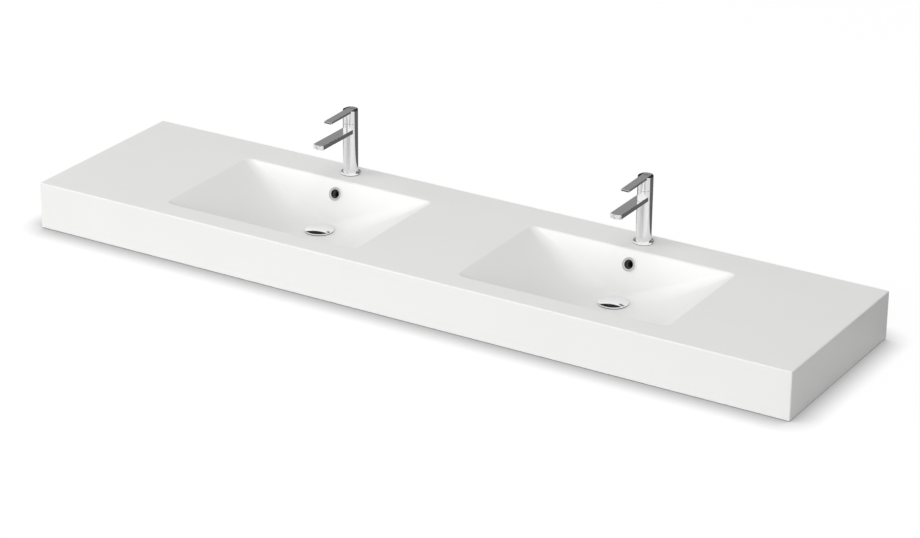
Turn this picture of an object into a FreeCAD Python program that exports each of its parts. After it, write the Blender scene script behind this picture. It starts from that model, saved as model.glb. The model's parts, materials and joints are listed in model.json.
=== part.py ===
import FreeCAD, Part
import math
import os
from FreeCAD import Vector

# Wall-hung double washbasin, in millimetres. +X runs along the slab, +Y into the wall, +Z up.
# Pieces are built with z = 0 at the deck and y = 0 at the wall. Saving lifts them, so that the origin
# is the middle of the wall face at the height of the wall bolts.

# Slab
SLAB_WIDTH = 1800.0
SLAB_DEPTH = 450.0
SLAB_HEIGHT = 105.0
SHEET = 12.0
EDGE_ROUND = 2.5
RAIL_THICK = 14.0
RIB_THICK = 18.0
RIB_HEIGHT = 70.0

# Wall bolts in the back rail
BOLT_DROP = 55.0
BOLT_SPACING = 280.0
BOLT_HOLE_R = 6.0

# Bowls
BOWL_PITCH = 725.0
BOWL_WIDTH = 480.0
BOWL_SETBACK = 90.0
FRONT_LEDGE = 57.0
BOWL_DEPTH = 92.0
BOWL_WALL = 10.0
BOWL_RIM_BAND = 10.0
RIM_CORNER_R = 14.0
FLOOR_CORNER_GAIN = 53.0
FLOOR_CORNER_SHARE = 0.8
SIDE_RIM_ROUND = 14.0
END_RIM_ROUND = 8.0
FLOOR_WIDTH = 61.25
SIDE_COVE = 120.0
BACK_SLOPE = 69.0
BACK_COVE = 12.0
FRONT_SLOPE = 66.0
FRONT_COVE = 30.0
BOWL_SECTIONS = 30

# Waste
WASTE_R = 22.0
TAIL_R = 20.9
TAIL_WALL = 3.4
TAIL_LENGTH = 30.0
DRAIN_ROOM = 1.0
FLANGE_R = 31.5
FLANGE_THICK = 2.0
WASTE_SEAL_THICK = 1.5
LOWER_SEAL_THICK = 4.0
LOWER_SEAL_R = 30.0
WASTE_NUT_HEIGHT = 8.0
WASTE_NUT_R = 29.0
GUIDE_DROP = 16.0
GUIDE_HEIGHT = 4.0
GUIDE_HUB_R = 7.0
GUIDE_ARM = 3.0
GUIDE_ARMS = 3
CAP_R = 32.5
CAP_RISE = 7.0
CAP_DOME = 3.5
CAP_EDGE_ROUND = 1.2
CAP_RECESS = 2.2
CAP_SEAL_SHOW = 1.5
CAP_TO_COVE = 0.5
CAP_BOSS_R = 8.0
CAP_BOSS_DROP = 1.0
PLUG_SEAL_WIDTH = 3.8
PLUNGER_R = 4.0
PLUNGER_COLLAR_R = 6.0
PLUNGER_COLLAR_HEIGHT = 3.0
PLUG_TRAVEL = 9.0
SPRING_R = 6.2
SPRING_WIRE_R = 0.7
SPRING_TURNS = 4.0

# Overflow
OVERFLOW_DROP = 29.0
OVERFLOW_RING_R = 16.0
OVERFLOW_RING_THICK = 2.5
OVERFLOW_HOLE_R = 10.0
OVERFLOW_SLEEVE_WALL = 1.8
PIPE_R = 9.0
PIPE_WALL = 2.0
PIPE_FLANGE_THICK = 3.0
PIPE_LEAD = 6.0
PIPE_UPPER_BEND = 14.0
PIPE_LOWER_BEND = 20.0
SOCKET_DROP = 50.0
SOCKET_LENGTH = 20.0
SOCKET_WALL = 2.5
SOCKET_LAND = 1.5

# Tap
TAP_HOLE_R = 17.5
TAP_BODY_R = 16.5
BASE_RING_R = 22.5
BASE_RING_HEIGHT = 4.0
BASE_RING_ROUND = 3.2
BASE_RING_LEDGE = 1.2
BASE_RING_BORE_R = 13.0
BASE_SEAL_THICK = 1.0
SEAM_HEIGHT = 118.5
SEAM_GAP = 0.5
SPOUT_DROP = 12.0
SPOUT_THICK = 10.0
SPOUT_WIDTH = 26.0
SPOUT_REACH = 131.0
SPOUT_NOSE = 4.0
SPOUT_EDGE_ROUND = 0.8
WATERWAY_R = 3.0
SUPPLY_OFFSET = 6.2
INLET_R = 4.5
INLET_LENGTH = 12.0
AERATOR_SETBACK = 14.0
AERATOR_R = 9.0
AERATOR_WALL = 1.6
AERATOR_HEIGHT = 6.5
AERATOR_STAND_OUT = 0.8
SCREEN_THICK = 4.0
SCREEN_HOLE_R = 1.3
SCREEN_HOLE_CIRCLE_R = 4.2
SCREEN_HOLES = 6

# Tap clamp
STUD_R = 3.0
STUD_OFFSET = 9.5
STUD_GRIP = 12.0
STUD_LENGTH = 60.0
CLAMP_R = 24.0
CLAMP_TO_RAIL = 2.0
CLAMP_NOTCH_ROOM = 0.5
PAD_THICK = 3.0
PLATE_THICK = 3.0
TAP_NUT_FLATS = 10.0
TAP_NUT_HEIGHT = 14.0

# Cartridge
CHAMBER_DEPTH = 11.0
NECK_WALL = 0.9
NECK_GAP = 0.7
CARTRIDGE_LEDGE = 0.7
CARTRIDGE_WALL = 1.5
CARTRIDGE_BASE_THICK = 2.5
DISC_THICK = 3.0
HOUSING_TOP_THICK = 2.0
HOUSING_LENGTH = 15.0
COLLAR_WALL = 1.6
COLLAR_HEIGHT = 4.0
CARTRIDGE_NUT_HEIGHT = 5.5
ROTOR_R = 8.7
ROTOR_FLANGE_INSET = 1.2
ROTOR_FLANGE_THICK = 2.3
SLIDER_ROOM = 0.7
SLIDER_POCKET_R = 5.0
SLIDER_POCKET_DEPTH = 1.2
POST_HALF_WIDTH = 3.0
POST_HALF_LENGTH = 4.0

# Head and lever
HEAD_WALL = 2.0
CROWN_FLOOR = 2.5
SHOULDER_DROP = 1.2
LEVER_WIDTH = 19.0
LEVER_THICK = 4.5
LEVER_TIP_THICK = 3.6
LEVER_REACH = 91.0
LEVER_DROOP = 2.0
LEVER_TIP_LEAN = 0.3
LEVER_CORNER_R = 2.0
LEVER_EDGE_ROUND = 0.6
LIFT_ANGLE = 25.0
HINGE_OFFSET = 2.5
HEEL_R = 7.0
HEEL_CUT = 3.5
LEVER_PIN_R = 1.5
LEVER_PIN_HALF = 13.0
FINGER_SINK = 2.0
FINGER_HALF_WIDTH = 2.0
FINGER_HALF_THICK = 1.0
FINGER_TIP_R = 1.7
HEAD_SCREW_R = 1.5
HEAD_SCREW_LENGTH = 5.0

# Clearances, and how far a cutting shape passes the face that it opens
MOVING_GAP = 0.3
RUNNING_GAP = 0.05
SEAT_GAP = 0.1
OVERCUT = 2.0

X_AXIS = Vector(1, 0, 0)
Y_AXIS = Vector(0, 1, 0)
Z_AXIS = Vector(0, 0, 1)
STATIONS = (("left", -BOWL_PITCH / 2), ("right", BOWL_PITCH / 2))


def slope_for_run(run, cove):
    """The slope, in degrees, at which a straight wall and its cove reach the floor at a run from the rim."""
    reach = run + math.sqrt(run ** 2 - (2 * cove - BOWL_DEPTH) * BOWL_DEPTH)
    return 2 * math.degrees(math.atan(BOWL_DEPTH / reach))


def wall_run(drop, slope, cove, rim_round, wall=0.0):
    """How far inside the rim a bowl wall stands at a drop below the deck: a rounded rim, a straight slope
    and a cove into the floor. With a wall thickness it gives the shell's outer face, which has no rim."""
    tilt = math.radians(slope)
    radius = cove + wall
    bottom = BOWL_DEPTH + wall
    rim_drop = 0 if wall else rim_round * (1 - math.cos(tilt))
    cove_drop = bottom - radius * (1 - math.cos(tilt))
    if drop < rim_drop:
        return math.sqrt(2 * rim_round * drop - drop ** 2) - rim_round * math.tan(tilt / 2)
    straight = min(drop, cove_drop) / math.tan(tilt) - wall / math.sin(tilt)
    if drop <= cove_drop:
        return straight
    above_centre = radius - (bottom - drop)
    return straight + radius * math.sin(tilt) - math.sqrt(max(radius ** 2 - above_centre ** 2, 0))


# Places in the bowls and wastes
BOWL_BACK_Y = -BOWL_SETBACK
BOWL_FRONT_Y = FRONT_LEDGE - SLAB_DEPTH
FLOOR_Z = -BOWL_DEPTH
SHELL_Z = FLOOR_Z - BOWL_WALL
SIDE_SLOPE = slope_for_run((BOWL_WIDTH - FLOOR_WIDTH) / 2, SIDE_COVE)
BACK_FLOOR_RUN = wall_run(BOWL_DEPTH, BACK_SLOPE, BACK_COVE, END_RIM_ROUND)
DRAIN_SETBACK = BOWL_SETBACK + BACK_FLOOR_RUN + CAP_TO_COVE + CAP_R
DRAIN_HOLE_R = WASTE_R + DRAIN_ROOM
RECESS_Z = FLOOR_Z - FLANGE_THICK - WASTE_SEAL_THICK
TAIL_BORE_R = TAIL_R - TAIL_WALL
GUIDE_TOP_Z = FLOOR_Z - GUIDE_DROP
GUIDE_Z = GUIDE_TOP_Z - GUIDE_HEIGHT
CAP_UNDER_Z = FLOOR_Z + MOVING_GAP
CAP_TOP_Z = FLOOR_Z + CAP_RISE
CAP_CEILING_Z = CAP_UNDER_Z + CAP_RECESS
CAP_SKIRT_Z = CAP_UNDER_Z + CAP_SEAL_SHOW
CAP_BOSS_Z = FLOOR_Z - CAP_BOSS_DROP
SOCKET_Z = FLOOR_Z - SOCKET_DROP
TAIL_TOP_Z = SOCKET_Z - PIPE_R - SOCKET_WALL - SOCKET_LAND
TAIL_Z = TAIL_TOP_Z - TAIL_LENGTH

# Places in the taps, from the deck up through the column and the cartridge to the top of the head
TAP_SETBACK = RAIL_THICK + CLAMP_TO_RAIL + CLAMP_R
PAD_Z = -SHEET - PAD_THICK
PLATE_Z = PAD_Z - PLATE_THICK
BODY_FOOT_Z = BASE_SEAL_THICK + BASE_RING_LEDGE
SPOUT_TOP = SEAM_HEIGHT - SPOUT_DROP
SPOUT_UNDER = SPOUT_TOP - SPOUT_THICK
WATERWAY_Z = SPOUT_TOP - SPOUT_THICK / 2
AERATOR_Y = AERATOR_SETBACK - SPOUT_REACH
CHAMBER_FLOOR = SEAM_HEIGHT - CHAMBER_DEPTH
DISC_Z = CHAMBER_FLOOR + CARTRIDGE_BASE_THICK
SLIDER_Z = DISC_Z + DISC_THICK
SLIDER_TOP_Z = SLIDER_Z + DISC_THICK
SHOULDER_Z = DISC_Z + HOUSING_LENGTH
NECK_TOP_Z = SHOULDER_Z + CARTRIDGE_NUT_HEIGHT
ROTOR_FLANGE_Z = NECK_TOP_Z + NECK_GAP
CROWN_Z = ROTOR_FLANGE_Z + ROTOR_FLANGE_THICK
HEEL_REACH = HEEL_R * math.sin(math.asin(HEEL_CUT / HEEL_R) + math.radians(LIFT_ANGLE))
HEEL_POCKET_Z = CROWN_Z + CROWN_FLOOR
HINGE_Z = HEEL_POCKET_Z + MOVING_GAP + HEEL_REACH
HEAD_HEIGHT = HINGE_Z + HEEL_R
FINGER_TIP_Z = CROWN_Z - FINGER_SINK
SLIDER_TRAVEL = (HINGE_Z - FINGER_TIP_Z) * math.sin(math.radians(LIFT_ANGLE))
HEAD_SCREW_START = Vector(0, TAP_BODY_R - MOVING_GAP - HEAD_SCREW_LENGTH, CROWN_Z - ROTOR_FLANGE_THICK / 2)

# Radii in the taps, from the column inwards
NECK_R = TAP_BODY_R - HEAD_WALL - MOVING_GAP
CARTRIDGE_NUT_R = NECK_R - NECK_WALL - SEAT_GAP
CARTRIDGE_R = CARTRIDGE_NUT_R - CARTRIDGE_LEDGE
CARTRIDGE_BORE_R = CARTRIDGE_R - CARTRIDGE_WALL
COLLAR_R = ROTOR_R + MOVING_GAP + COLLAR_WALL
ROTOR_FLANGE_R = NECK_R - ROTOR_FLANGE_INSET
SLIDER_DISC_R = CARTRIDGE_BORE_R - HINGE_OFFSET - SLIDER_ROOM


def save(node, *solids):
    """Writes one node, lifted from the deck's height to the bolts' height."""
    shape = solids[0] if len(solids) == 1 else Part.makeCompound(list(solids))
    shape.translated(Vector(0, 0, BOLT_DROP)).exportStep("parts/" + node + ".step")


def moved(shape, x=0.0, y=0.0, z=0.0):
    return shape.translated(Vector(x, y, z))


def box(x0, x1, y0, y1, z0, z1):
    return Part.makeBox(x1 - x0, y1 - y0, z1 - z0, Vector(x0, y0, z0))


def bar(half_width, y0, y1, z0, z1):
    """A box as wide to both sides of x = 0."""
    return box(-half_width, half_width, y0, y1, z0, z1)


def rod(radius, z0, z1, x=0.0, y=0.0):
    return Part.makeCylinder(radius, z1 - z0, Vector(x, y, z0), Z_AXIS)


def tube(outer, inner, z0, z1):
    return rod(outer, z0, z1).cut(rod(inner, z0, z1))


def rod_along(radius, start, direction, length):
    return Part.makeCylinder(radius, length, start, direction)


def rod_across(radius, half_length, y, z):
    """A rod along X, as long to both sides of x = 0."""
    return rod_along(radius, Vector(-half_length, y, z), X_AXIS, 2 * half_length)


def outline_face(points):
    return Part.Face(Part.makePolygon(points + points[:1]))


def rounded_edges(shape, radius, wanted):
    edges = [edge for edge in shape.Edges if wanted(edge.CenterOfMass)]
    return shape.makeFillet(radius, edges)


def near(a, b):
    return abs(a - b) < 0.01


def rounded_rectangle(half_width, y0, y1, radius, z):
    """A closed outline of four lines and four arcs, starting on the front edge."""
    right = half_width - radius
    front = y0 + radius
    back = y1 - radius
    corners = ((right, front, -90), (right, back, 0), (-right, back, 90), (-right, front, 180))
    arcs = []
    for x, y, start in corners:
        spokes = []
        for angle in (start, start + 45, start + 90):
            turn = math.radians(angle)
            spokes.append(Vector(x + radius * math.cos(turn), y + radius * math.sin(turn), z))
        arcs.append(Part.Arc(*spokes))
    edges = []
    for index, arc in enumerate(arcs):
        edges.append(Part.LineSegment(arcs[index - 1].EndPoint, arc.StartPoint).toShape())
        edges.append(arc.toShape())
    return Part.Wire(edges)


# Slab


def deck_panel():
    half = SLAB_WIDTH / 2
    panel = bar(half, -SLAB_DEPTH, 0, -SHEET, 0)

    def outer(point):
        on_top = near(point.z, 0) and not near(point.y, 0)
        front_corner = near(point.y, -SLAB_DEPTH) and near(abs(point.x), half)
        return on_top or front_corner

    panel = rounded_edges(panel, EDGE_ROUND, outer)
    for _, x in STATIONS:
        panel = panel.cut(moved(bowl_rim_block(OVERCUT), x))
        panel = panel.cut(rod(TAP_HOLE_R, -SHEET - OVERCUT, OVERCUT, x, -TAP_SETBACK))
    return panel


def front_apron():
    half = SLAB_WIDTH / 2
    apron = bar(half, -SLAB_DEPTH, SHEET - SLAB_DEPTH, -SLAB_HEIGHT, -SHEET)

    def outer(point):
        in_front = near(point.y, -SLAB_DEPTH)
        at_end = near(abs(point.x), half)
        below = near(point.z, -SLAB_HEIGHT)
        return (in_front and at_end) or (below and (in_front or at_end))

    return rounded_edges(apron, EDGE_ROUND, outer)


def side_apron(hand):
    outer_x = hand * SLAB_WIDTH / 2
    x0, x1 = sorted((outer_x, outer_x - hand * SHEET))
    apron = box(x0, x1, SHEET - SLAB_DEPTH, 0, -SLAB_HEIGHT, -SHEET)

    def outer(point):
        return near(point.z, -SLAB_HEIGHT) and near(point.x, outer_x)

    return rounded_edges(apron, EDGE_ROUND, outer)


def back_rail():
    rail = bar(SLAB_WIDTH / 2 - SHEET, -RAIL_THICK, 0, -SLAB_HEIGHT, -SHEET)
    for _, x in STATIONS:
        for offset in (-BOLT_SPACING / 2, BOLT_SPACING / 2):
            start = Vector(x + offset, -RAIL_THICK - OVERCUT, -BOLT_DROP)
            rail = rail.cut(rod_along(BOLT_HOLE_R, start, Y_AXIS, RAIL_THICK + 2 * OVERCUT))
    return rail


def support_ribs():
    """Ribs under the deck: one in the middle, and one half way from each bowl to the end of the slab."""
    outside_bowl = BOWL_PITCH / 2 + BOWL_WIDTH / 2 + BOWL_RIM_BAND
    outer = (outside_bowl + SLAB_WIDTH / 2 - SHEET) / 2
    rib = bar(RIB_THICK / 2, SHEET - SLAB_DEPTH, -RAIL_THICK, -SHEET - RIB_HEIGHT, -SHEET)
    return [moved(rib, x) for x in (-outer, 0, outer)]


# Bowl


def bowl_section(drop, wall):
    half_width = BOWL_WIDTH / 2 - wall_run(drop, SIDE_SLOPE, SIDE_COVE, SIDE_RIM_ROUND, wall)
    back_run = wall_run(drop, BACK_SLOPE, BACK_COVE, END_RIM_ROUND, wall)
    front_run = wall_run(drop, FRONT_SLOPE, FRONT_COVE, END_RIM_ROUND, wall)
    corner = RIM_CORNER_R + FLOOR_CORNER_GAIN * drop / BOWL_DEPTH - min(back_run, 0)
    corner = min(corner, FLOOR_CORNER_SHARE * half_width)
    return rounded_rectangle(half_width, BOWL_FRONT_Y + front_run, BOWL_BACK_Y - back_run, corner, -drop)


def bowl_loft(top_drop, wall):
    """A solid from a drop below the deck to the floor, with its sections closest at both ends.
    It is ruled from section to section, so that it can't bulge past the deck."""
    height = BOWL_DEPTH + wall - top_drop
    sections = []
    for index in range(BOWL_SECTIONS + 1):
        share = (1 - math.cos(math.pi * index / BOWL_SECTIONS)) / 2
        sections.append(bowl_section(top_drop + height * share, wall))
    return Part.makeLoft(sections, True, True)


def bowl_rim_block(extra=0.0):
    """The rim band that fills the deck's cut-out, as thick as the deck."""
    half = BOWL_WIDTH / 2 + BOWL_RIM_BAND
    front = BOWL_FRONT_Y - BOWL_RIM_BAND
    back = BOWL_BACK_Y + BOWL_RIM_BAND
    outline = rounded_rectangle(half, front, back, RIM_CORNER_R + BOWL_RIM_BAND, -SHEET - extra)
    return Part.Face(outline).extrude(Vector(0, 0, SHEET + 2 * extra))


def overflow_place():
    """The overflow's centre on the bowl's back wall, and the way out through the wall."""
    run = wall_run(OVERFLOW_DROP, BACK_SLOPE, BACK_COVE, END_RIM_ROUND)
    tilt = math.radians(BACK_SLOPE)
    return Vector(0, BOWL_BACK_Y - run, -OVERFLOW_DROP), Vector(0, math.sin(tilt), -math.cos(tilt))


def bowl():
    shell = bowl_rim_block().fuse(bowl_loft(SHEET, BOWL_WALL))
    shell = shell.cut(bowl_loft(0, 0))
    shell = shell.cut(rod(DRAIN_HOLE_R, SHELL_Z - OVERCUT, FLOOR_Z + OVERCUT, 0, -DRAIN_SETBACK))
    shell = shell.cut(rod(FLANGE_R + MOVING_GAP, RECESS_Z, FLOOR_Z + OVERCUT, 0, -DRAIN_SETBACK))
    centre, out = overflow_place()
    bore = OVERFLOW_HOLE_R + OVERFLOW_SLEEVE_WALL + SEAT_GAP
    return shell.cut(rod_along(bore, centre - out * OVERCUT, out, BOWL_WALL + 2 * OVERCUT))


# Overflow


def overflow_ring():
    centre, out = overflow_place()
    face = centre - out * OVERFLOW_RING_THICK
    ring = rod_along(OVERFLOW_RING_R, face, out, OVERFLOW_RING_THICK)
    ring = rounded_edges(ring, OVERFLOW_RING_THICK / 2, lambda point: point.distanceToPoint(face) < SEAT_GAP)
    sleeve = rod_along(OVERFLOW_HOLE_R + OVERFLOW_SLEEVE_WALL, centre, out, BOWL_WALL)
    length = OVERFLOW_RING_THICK + BOWL_WALL
    return ring.fuse(sleeve).cut(rod_along(OVERFLOW_HOLE_R, face, out, length))


def overflow_path():
    """The pipe's line from the back of the bowl wall, down, and forward into the waste's socket."""
    centre, out = overflow_place()
    start = centre + out * BOWL_WALL
    tilt = math.radians(BACK_SLOPE)
    upper = start + out * PIPE_LEAD - Vector(0, math.cos(tilt), math.sin(tilt)) * PIPE_UPPER_BEND

    def on_bend(middle, radius, angle):
        return middle + Vector(0, math.cos(angle), math.sin(angle)) * radius

    upper_points = [on_bend(upper, PIPE_UPPER_BEND, angle) for angle in (tilt, tilt / 2, 0)]
    lower = Vector(0, upper_points[2].y - PIPE_LOWER_BEND, SOCKET_Z + PIPE_LOWER_BEND)
    lower_points = [on_bend(lower, PIPE_LOWER_BEND, angle) for angle in (0, -math.pi / 4, -math.pi / 2)]
    finish = Vector(0, -DRAIN_SETBACK + WASTE_R + SOCKET_WALL, SOCKET_Z)
    pieces = (
        Part.LineSegment(start, upper_points[0]),
        Part.Arc(*upper_points),
        Part.LineSegment(upper_points[2], lower_points[0]),
        Part.Arc(*lower_points),
        Part.LineSegment(lower_points[2], finish),
    )
    return Part.Wire([piece.toShape() for piece in pieces]), start, out


def overflow_pipe():
    path, start, out = overflow_path()
    walls = []
    for radius in (PIPE_R, PIPE_R - PIPE_WALL):
        ring = Part.Wire(Part.makeCircle(radius, start, out))
        walls.append(path.makePipeShell([ring], True, False))
    outside = walls[0].fuse(rod_along(OVERFLOW_RING_R, start, out, PIPE_FLANGE_THICK))
    return outside.cut(walls[1])


# Waste, about the drain's axis


def waste_body():
    body = rod(FLANGE_R, FLOOR_Z - FLANGE_THICK, FLOOR_Z).fuse(rod(WASTE_R, TAIL_TOP_Z, FLOOR_Z))
    body = body.fuse(rod(TAIL_R, TAIL_Z, TAIL_TOP_Z))
    in_wall = (TAIL_BORE_R + WASTE_R) / 2
    socket_end = WASTE_R + SOCKET_LENGTH
    pipe_stop = WASTE_R + SOCKET_WALL
    axis = Vector(0, 0, SOCKET_Z)
    body = body.fuse(rod_along(PIPE_R + SOCKET_WALL, axis + Y_AXIS * in_wall, Y_AXIS, socket_end - in_wall))
    body = body.cut(rod(TAIL_BORE_R, TAIL_Z - OVERCUT, FLOOR_Z + OVERCUT))
    seat = rod_along(PIPE_R + SEAT_GAP, axis + Y_AXIS * pipe_stop, Y_AXIS, socket_end - pipe_stop)
    body = body.cut(seat).cut(rod_along(PIPE_R - PIPE_WALL, axis, Y_AXIS, socket_end))
    guide = rod(GUIDE_HUB_R, GUIDE_Z, GUIDE_TOP_Z)
    arm = box(-GUIDE_ARM / 2, GUIDE_ARM / 2, 0, in_wall, GUIDE_Z, GUIDE_TOP_Z)
    for index in range(GUIDE_ARMS):
        guide = guide.fuse(arm.rotated(Vector(0, 0, 0), Z_AXIS, 360 * index / GUIDE_ARMS))
    return body.fuse(guide).cut(rod(PLUNGER_R + RUNNING_GAP, GUIDE_Z, GUIDE_TOP_Z))


def waste_upper_seal():
    return tube(FLANGE_R, DRAIN_HOLE_R, RECESS_Z, RECESS_Z + WASTE_SEAL_THICK)


def waste_lower_seal():
    return tube(LOWER_SEAL_R, WASTE_R + SEAT_GAP, SHELL_Z - LOWER_SEAL_THICK, SHELL_Z)


def waste_nut():
    top = SHELL_Z - LOWER_SEAL_THICK
    return tube(WASTE_NUT_R, WASTE_R + SEAT_GAP, top - WASTE_NUT_HEIGHT, top)


def waste_cap():
    dome_r = (CAP_R ** 2 + CAP_DOME ** 2) / (2 * CAP_DOME)
    cap = rod(CAP_R, CAP_SKIRT_Z, CAP_TOP_Z).common(Part.makeSphere(dome_r, Vector(0, 0, CAP_TOP_Z - dome_r)))
    cap = rounded_edges(cap, CAP_EDGE_ROUND, lambda point: near(point.z, CAP_TOP_Z - CAP_DOME))
    cap = cap.cut(rod(CAP_R - PLUG_SEAL_WIDTH, CAP_SKIRT_Z, CAP_CEILING_Z))
    return cap.fuse(rod(CAP_BOSS_R, CAP_BOSS_Z, CAP_CEILING_Z))


def plug_seal():
    outer = CAP_R - PLUG_SEAL_WIDTH
    return tube(outer, outer - PLUG_SEAL_WIDTH, CAP_UNDER_Z, CAP_CEILING_Z)


def plunger():
    collar_top = GUIDE_Z - PLUG_TRAVEL - MOVING_GAP
    foot = collar_top - PLUNGER_COLLAR_HEIGHT
    return rod(PLUNGER_R, foot, CAP_BOSS_Z).fuse(rod(PLUNGER_COLLAR_R, foot, collar_top))


def arc_from(start, way, finish):
    """The arc that leaves one point along a direction and ends at another."""
    chord = finish - start
    half_turn = way.getAngle(chord)
    across = (way - chord * (way.dot(chord) / chord.dot(chord))).normalize()
    rise = chord.Length / 2 * math.tan(half_turn / 2)
    return Part.Arc(start, start + chord / 2 + across * rise, finish)


def biarc(start, start_way, finish, finish_way):
    """Two arcs that run smoothly from one point to another, along a direction at each."""
    chord = finish - start
    along = chord.dot(start_way + finish_way)
    bend = 2 * (1 - start_way.dot(finish_way))
    lead = (math.sqrt(along ** 2 + bend * chord.dot(chord)) - along) / bend
    middle = (start + finish + (start_way - finish_way) * lead) / 2
    return arc_from(start, start_way, middle), arc_from(finish, finish_way * -1, middle)


def plug_spring():
    """A coil on the guide, under the cap's boss, of two arcs to each quarter turn."""
    base = GUIDE_TOP_Z + MOVING_GAP + SPRING_WIRE_R
    length = CAP_BOSS_Z - MOVING_GAP - SPRING_WIRE_R - base
    rise = length / (2 * math.pi * SPRING_TURNS)
    points = []
    ways = []
    for quarter in range(round(4 * SPRING_TURNS) + 1):
        turn = quarter * math.pi / 2
        points.append(Vector(SPRING_R * math.cos(turn), SPRING_R * math.sin(turn), base + rise * turn))
        ways.append(Vector(-SPRING_R * math.sin(turn), SPRING_R * math.cos(turn), rise).normalize())
    arcs = []
    for index in range(len(points) - 1):
        arcs += biarc(points[index], ways[index], points[index + 1], ways[index + 1])
    ring = Part.Wire(Part.makeCircle(SPRING_WIRE_R, points[0], ways[0]))
    return Part.Wire([arc.toShape() for arc in arcs]).makePipeShell([ring], True, False)


# Tap, about the column's axis


def spout_bar():
    half = SPOUT_WIDTH / 2
    shoulder = SPOUT_NOSE - SPOUT_REACH
    left, right = [Vector(x, shoulder, SPOUT_UNDER) for x in (-half, half)]
    left_root, right_root = [Vector(x, 0, SPOUT_UNDER) for x in (-half, half)]
    lines = (
        Part.LineSegment(left_root, left),
        Part.Arc(left, Vector(0, -SPOUT_REACH, SPOUT_UNDER), right),
        Part.LineSegment(right, right_root),
        Part.LineSegment(right_root, left_root),
    )
    outline = Part.Wire([line.toShape() for line in lines])
    spout = Part.Face(outline).extrude(Vector(0, 0, SPOUT_THICK))
    return rounded_edges(spout, SPOUT_EDGE_ROUND, lambda point: not near(point.y, 0))


def without_ports(piece, z0, z1):
    """Opens the two supplies and the mixed outlet through a piece of the cartridge."""
    for x, y in ((-SUPPLY_OFFSET, 0), (SUPPLY_OFFSET, 0), (0, -SUPPLY_OFFSET)):
        piece = piece.cut(rod(WATERWAY_R, z0, z1, x, y))
    return piece


def tap_body():
    body = rod(TAP_BODY_R, BODY_FOOT_Z, SEAM_HEIGHT).fuse(spout_bar())
    body = body.fuse(rod(NECK_R, SEAM_HEIGHT, NECK_TOP_Z))
    body = body.cut(rod(CARTRIDGE_R + SEAT_GAP, CHAMBER_FLOOR, NECK_TOP_Z))
    body = body.cut(rod(CARTRIDGE_NUT_R + SEAT_GAP, SHOULDER_Z, NECK_TOP_Z))
    for x in (-SUPPLY_OFFSET, SUPPLY_OFFSET):
        body = body.cut(rod(WATERWAY_R, BODY_FOOT_Z, CHAMBER_FLOOR, x))
        body = body.cut(rod(INLET_R, BODY_FOOT_Z, BODY_FOOT_Z + INLET_LENGTH, x))
    body = body.cut(rod(WATERWAY_R, WATERWAY_Z, CHAMBER_FLOOR, 0, -SUPPLY_OFFSET))
    nozzle = Vector(0, AERATOR_Y, WATERWAY_Z)
    body = body.cut(rod_along(WATERWAY_R, nozzle, Y_AXIS, -SUPPLY_OFFSET - AERATOR_Y))
    body = body.cut(rod(AERATOR_R + SEAT_GAP, SPOUT_UNDER, SPOUT_UNDER + AERATOR_HEIGHT, 0, AERATOR_Y))
    return body.cut(rod(STUD_R + SEAT_GAP, BODY_FOOT_Z, BODY_FOOT_Z + STUD_GRIP, 0, STUD_OFFSET))


def tap_base_ring():
    top = BASE_SEAL_THICK + BASE_RING_HEIGHT
    ring = rod(BASE_RING_R, BASE_SEAL_THICK, top)
    ring = rounded_edges(ring, BASE_RING_ROUND, lambda point: near(point.z, top))
    ring = ring.cut(rod(TAP_BODY_R + SEAT_GAP, BODY_FOOT_Z, top))
    return ring.cut(rod(BASE_RING_BORE_R, BASE_SEAL_THICK, top))


def tap_seal():
    return tube(BASE_RING_R - MOVING_GAP, TAP_HOLE_R + MOVING_GAP, 0, BASE_SEAL_THICK)


def tap_stud():
    top = BODY_FOOT_Z + STUD_GRIP
    return rod(STUD_R, top - STUD_LENGTH, top, 0, STUD_OFFSET)


def clamp_piece(z0, z1):
    """A round piece with a notch to the front for the supply pipes, and a hole for the stud."""
    notch_half = SUPPLY_OFFSET + INLET_R + CLAMP_NOTCH_ROOM
    piece = rod(CLAMP_R, z0, z1).cut(bar(notch_half, -CLAMP_R, INLET_R + CLAMP_NOTCH_ROOM, z0, z1))
    return piece.cut(rod(STUD_R + SEAT_GAP, z0, z1, 0, STUD_OFFSET))


def tap_nut():
    foot = PLATE_Z - TAP_NUT_HEIGHT
    corner_r = TAP_NUT_FLATS / math.sqrt(3)
    points = []
    for side in range(6):
        turn = math.radians(60 * side)
        points.append(Vector(corner_r * math.cos(turn), STUD_OFFSET + corner_r * math.sin(turn), foot))
    nut = outline_face(points).extrude(Vector(0, 0, TAP_NUT_HEIGHT))
    return nut.cut(rod(STUD_R + SEAT_GAP, foot, PLATE_Z, 0, STUD_OFFSET))


def aerator_shell():
    foot = SPOUT_UNDER - AERATOR_STAND_OUT
    return moved(tube(AERATOR_R, AERATOR_R - AERATOR_WALL, foot, SPOUT_UNDER + AERATOR_HEIGHT), 0, AERATOR_Y)


def aerator_screen():
    top = SPOUT_UNDER + SCREEN_THICK
    screen = rod(AERATOR_R - AERATOR_WALL - SEAT_GAP, SPOUT_UNDER, top)
    screen = screen.cut(rod(SCREEN_HOLE_R, SPOUT_UNDER, top))
    for index in range(SCREEN_HOLES):
        turn = 2 * math.pi * index / SCREEN_HOLES
        x = SCREEN_HOLE_CIRCLE_R * math.cos(turn)
        y = SCREEN_HOLE_CIRCLE_R * math.sin(turn)
        screen = screen.cut(rod(SCREEN_HOLE_R, SPOUT_UNDER, top, x, y))
    return moved(screen, 0, AERATOR_Y)


# Cartridge, about the column's axis


def cartridge_base():
    return without_ports(rod(CARTRIDGE_R, CHAMBER_FLOOR, DISC_Z), CHAMBER_FLOOR, DISC_Z)


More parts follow.
